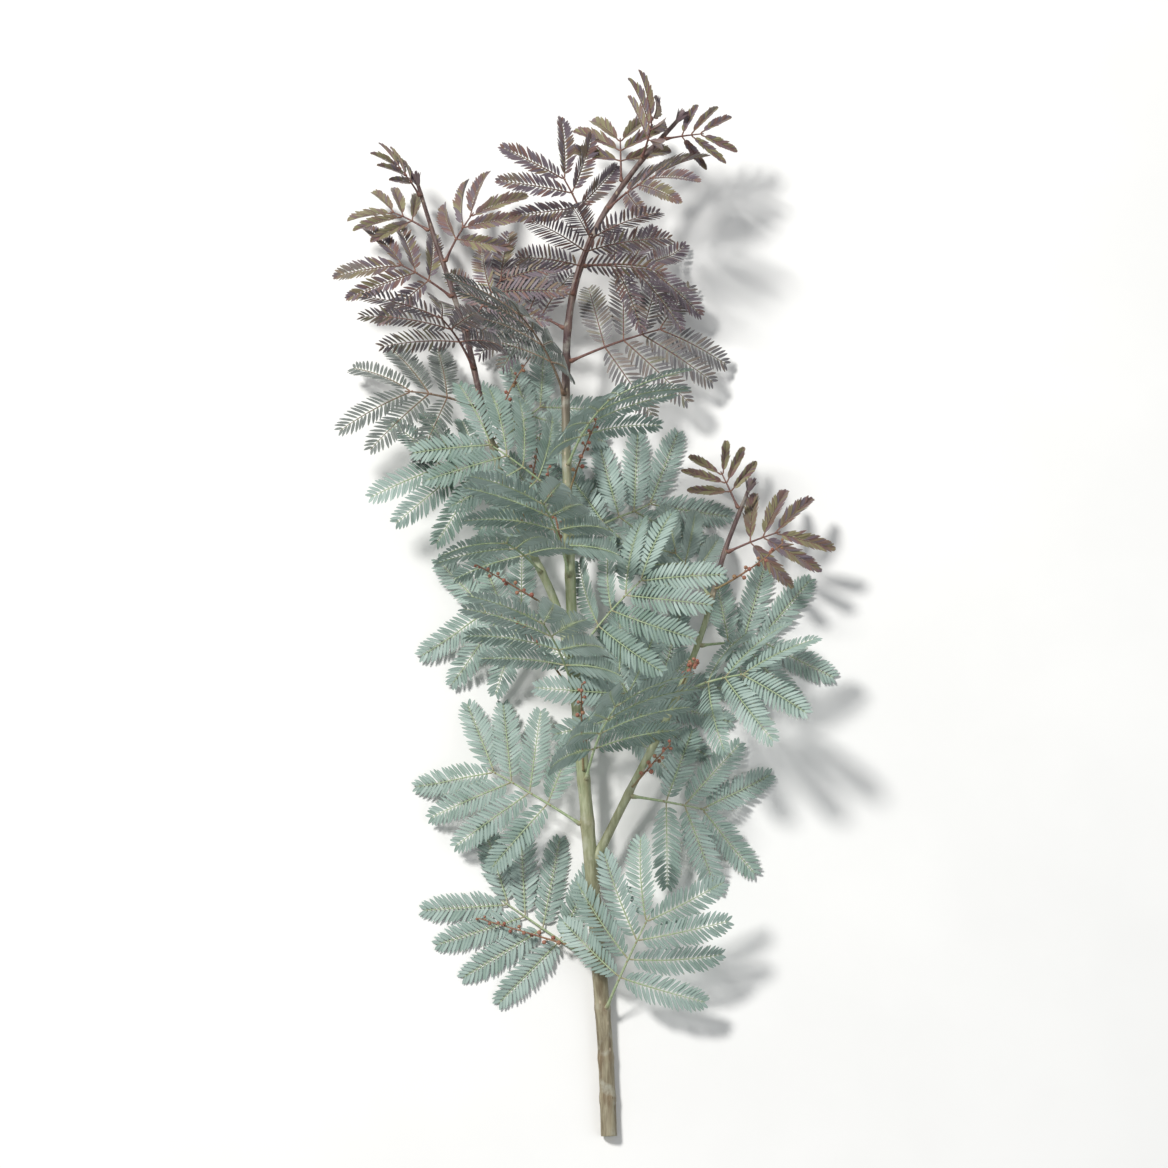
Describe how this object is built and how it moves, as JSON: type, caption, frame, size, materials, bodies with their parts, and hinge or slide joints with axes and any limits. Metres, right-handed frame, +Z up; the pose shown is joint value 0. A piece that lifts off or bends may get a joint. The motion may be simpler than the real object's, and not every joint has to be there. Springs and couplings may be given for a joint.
{
  "type": "mimosa sprig",
  "caption": "Cut mimosa sprig lying on its side: branched woody stem, feathery blue-green leaves, bronze young leaves and racemes of round buds.",
  "frame": {"origin": "the flat spot on the underside of the cut end, on the surface that the sprig lies on", "axes": "+Z is up, away from the surface; +Y runs from the cut end to the tip; +X is to the right, seen from above with the tip away"},
  "size_m": [0.2153, 0.4425, 0.0952],
  "materials": {
    "stem_bark": "ridged olive-grey bark, purple-brown towards the tip",
    "leaf_blue_green": "matt, with a waxy blue-grey bloom",
    "leaf_bronze": "bronze to dark purple young foliage, slightly satin",
    "raceme_red": "matt, finely bumpy closed buds"
  },
  "bodies": {
    "root": {"leaf_left_22": "leaf_blue_green", "leaf_left_23": "leaf_blue_green", "leaf_left_24": "leaf_blue_green", "leaf_left_25": "leaf_blue_green", "leaf_left_26": "leaf_blue_green", "leaf_main_01": "leaf_blue_green", "leaf_main_02": "leaf_blue_green", "leaf_main_03": "leaf_blue_green", "leaf_main_04": "leaf_blue_green", "leaf_main_05": "leaf_blue_green", "leaf_main_06": "leaf_blue_green", "leaf_main_07": "leaf_blue_green", "leaf_main_08": "leaf_blue_green", "leaf_main_09": "leaf_blue_green", "leaf_main_10": "leaf_blue_green", "leaf_main_11": "leaf_blue_green", "leaf_right_34": "leaf_blue_green", "leaf_right_35": "leaf_blue_green", "leaf_right_36": "leaf_blue_green", "leaf_right_37": "leaf_blue_green", "leaf_right_38": "leaf_blue_green", "raceme_left_06": "raceme_red", "raceme_left_07": "raceme_red", "raceme_left_08": "raceme_red", "raceme_main_01": "raceme_red", "raceme_main_02": "raceme_red", "raceme_main_03": "raceme_red", "raceme_main_04": "raceme_red", "raceme_main_05": "raceme_red", "raceme_right_09": "raceme_red", "raceme_right_10": "raceme_red", "raceme_right_11": "raceme_red", "stem": "stem_bark", "young_leaf_left_27": "leaf_bronze", "young_leaf_left_28": "leaf_bronze", "young_leaf_left_29": "leaf_bronze", "young_leaf_left_30": "leaf_bronze", "young_leaf_left_31": "leaf_bronze", "young_leaf_left_32": "leaf_bronze", "young_leaf_left_33": "leaf_bronze", "young_leaf_main_12": "leaf_bronze", "young_leaf_main_13": "leaf_bronze", "young_leaf_main_14": "leaf_bronze", "young_leaf_main_15": "leaf_bronze", "young_leaf_main_16": "leaf_bronze", "young_leaf_main_17": "leaf_bronze", "young_leaf_main_18": "leaf_bronze", "young_leaf_main_19": "leaf_bronze", "young_leaf_main_20": "leaf_bronze", "young_leaf_main_21": "leaf_bronze", "young_leaf_right_39": "leaf_bronze", "young_leaf_right_40": "leaf_bronze"}
  },
  "joints": []
}
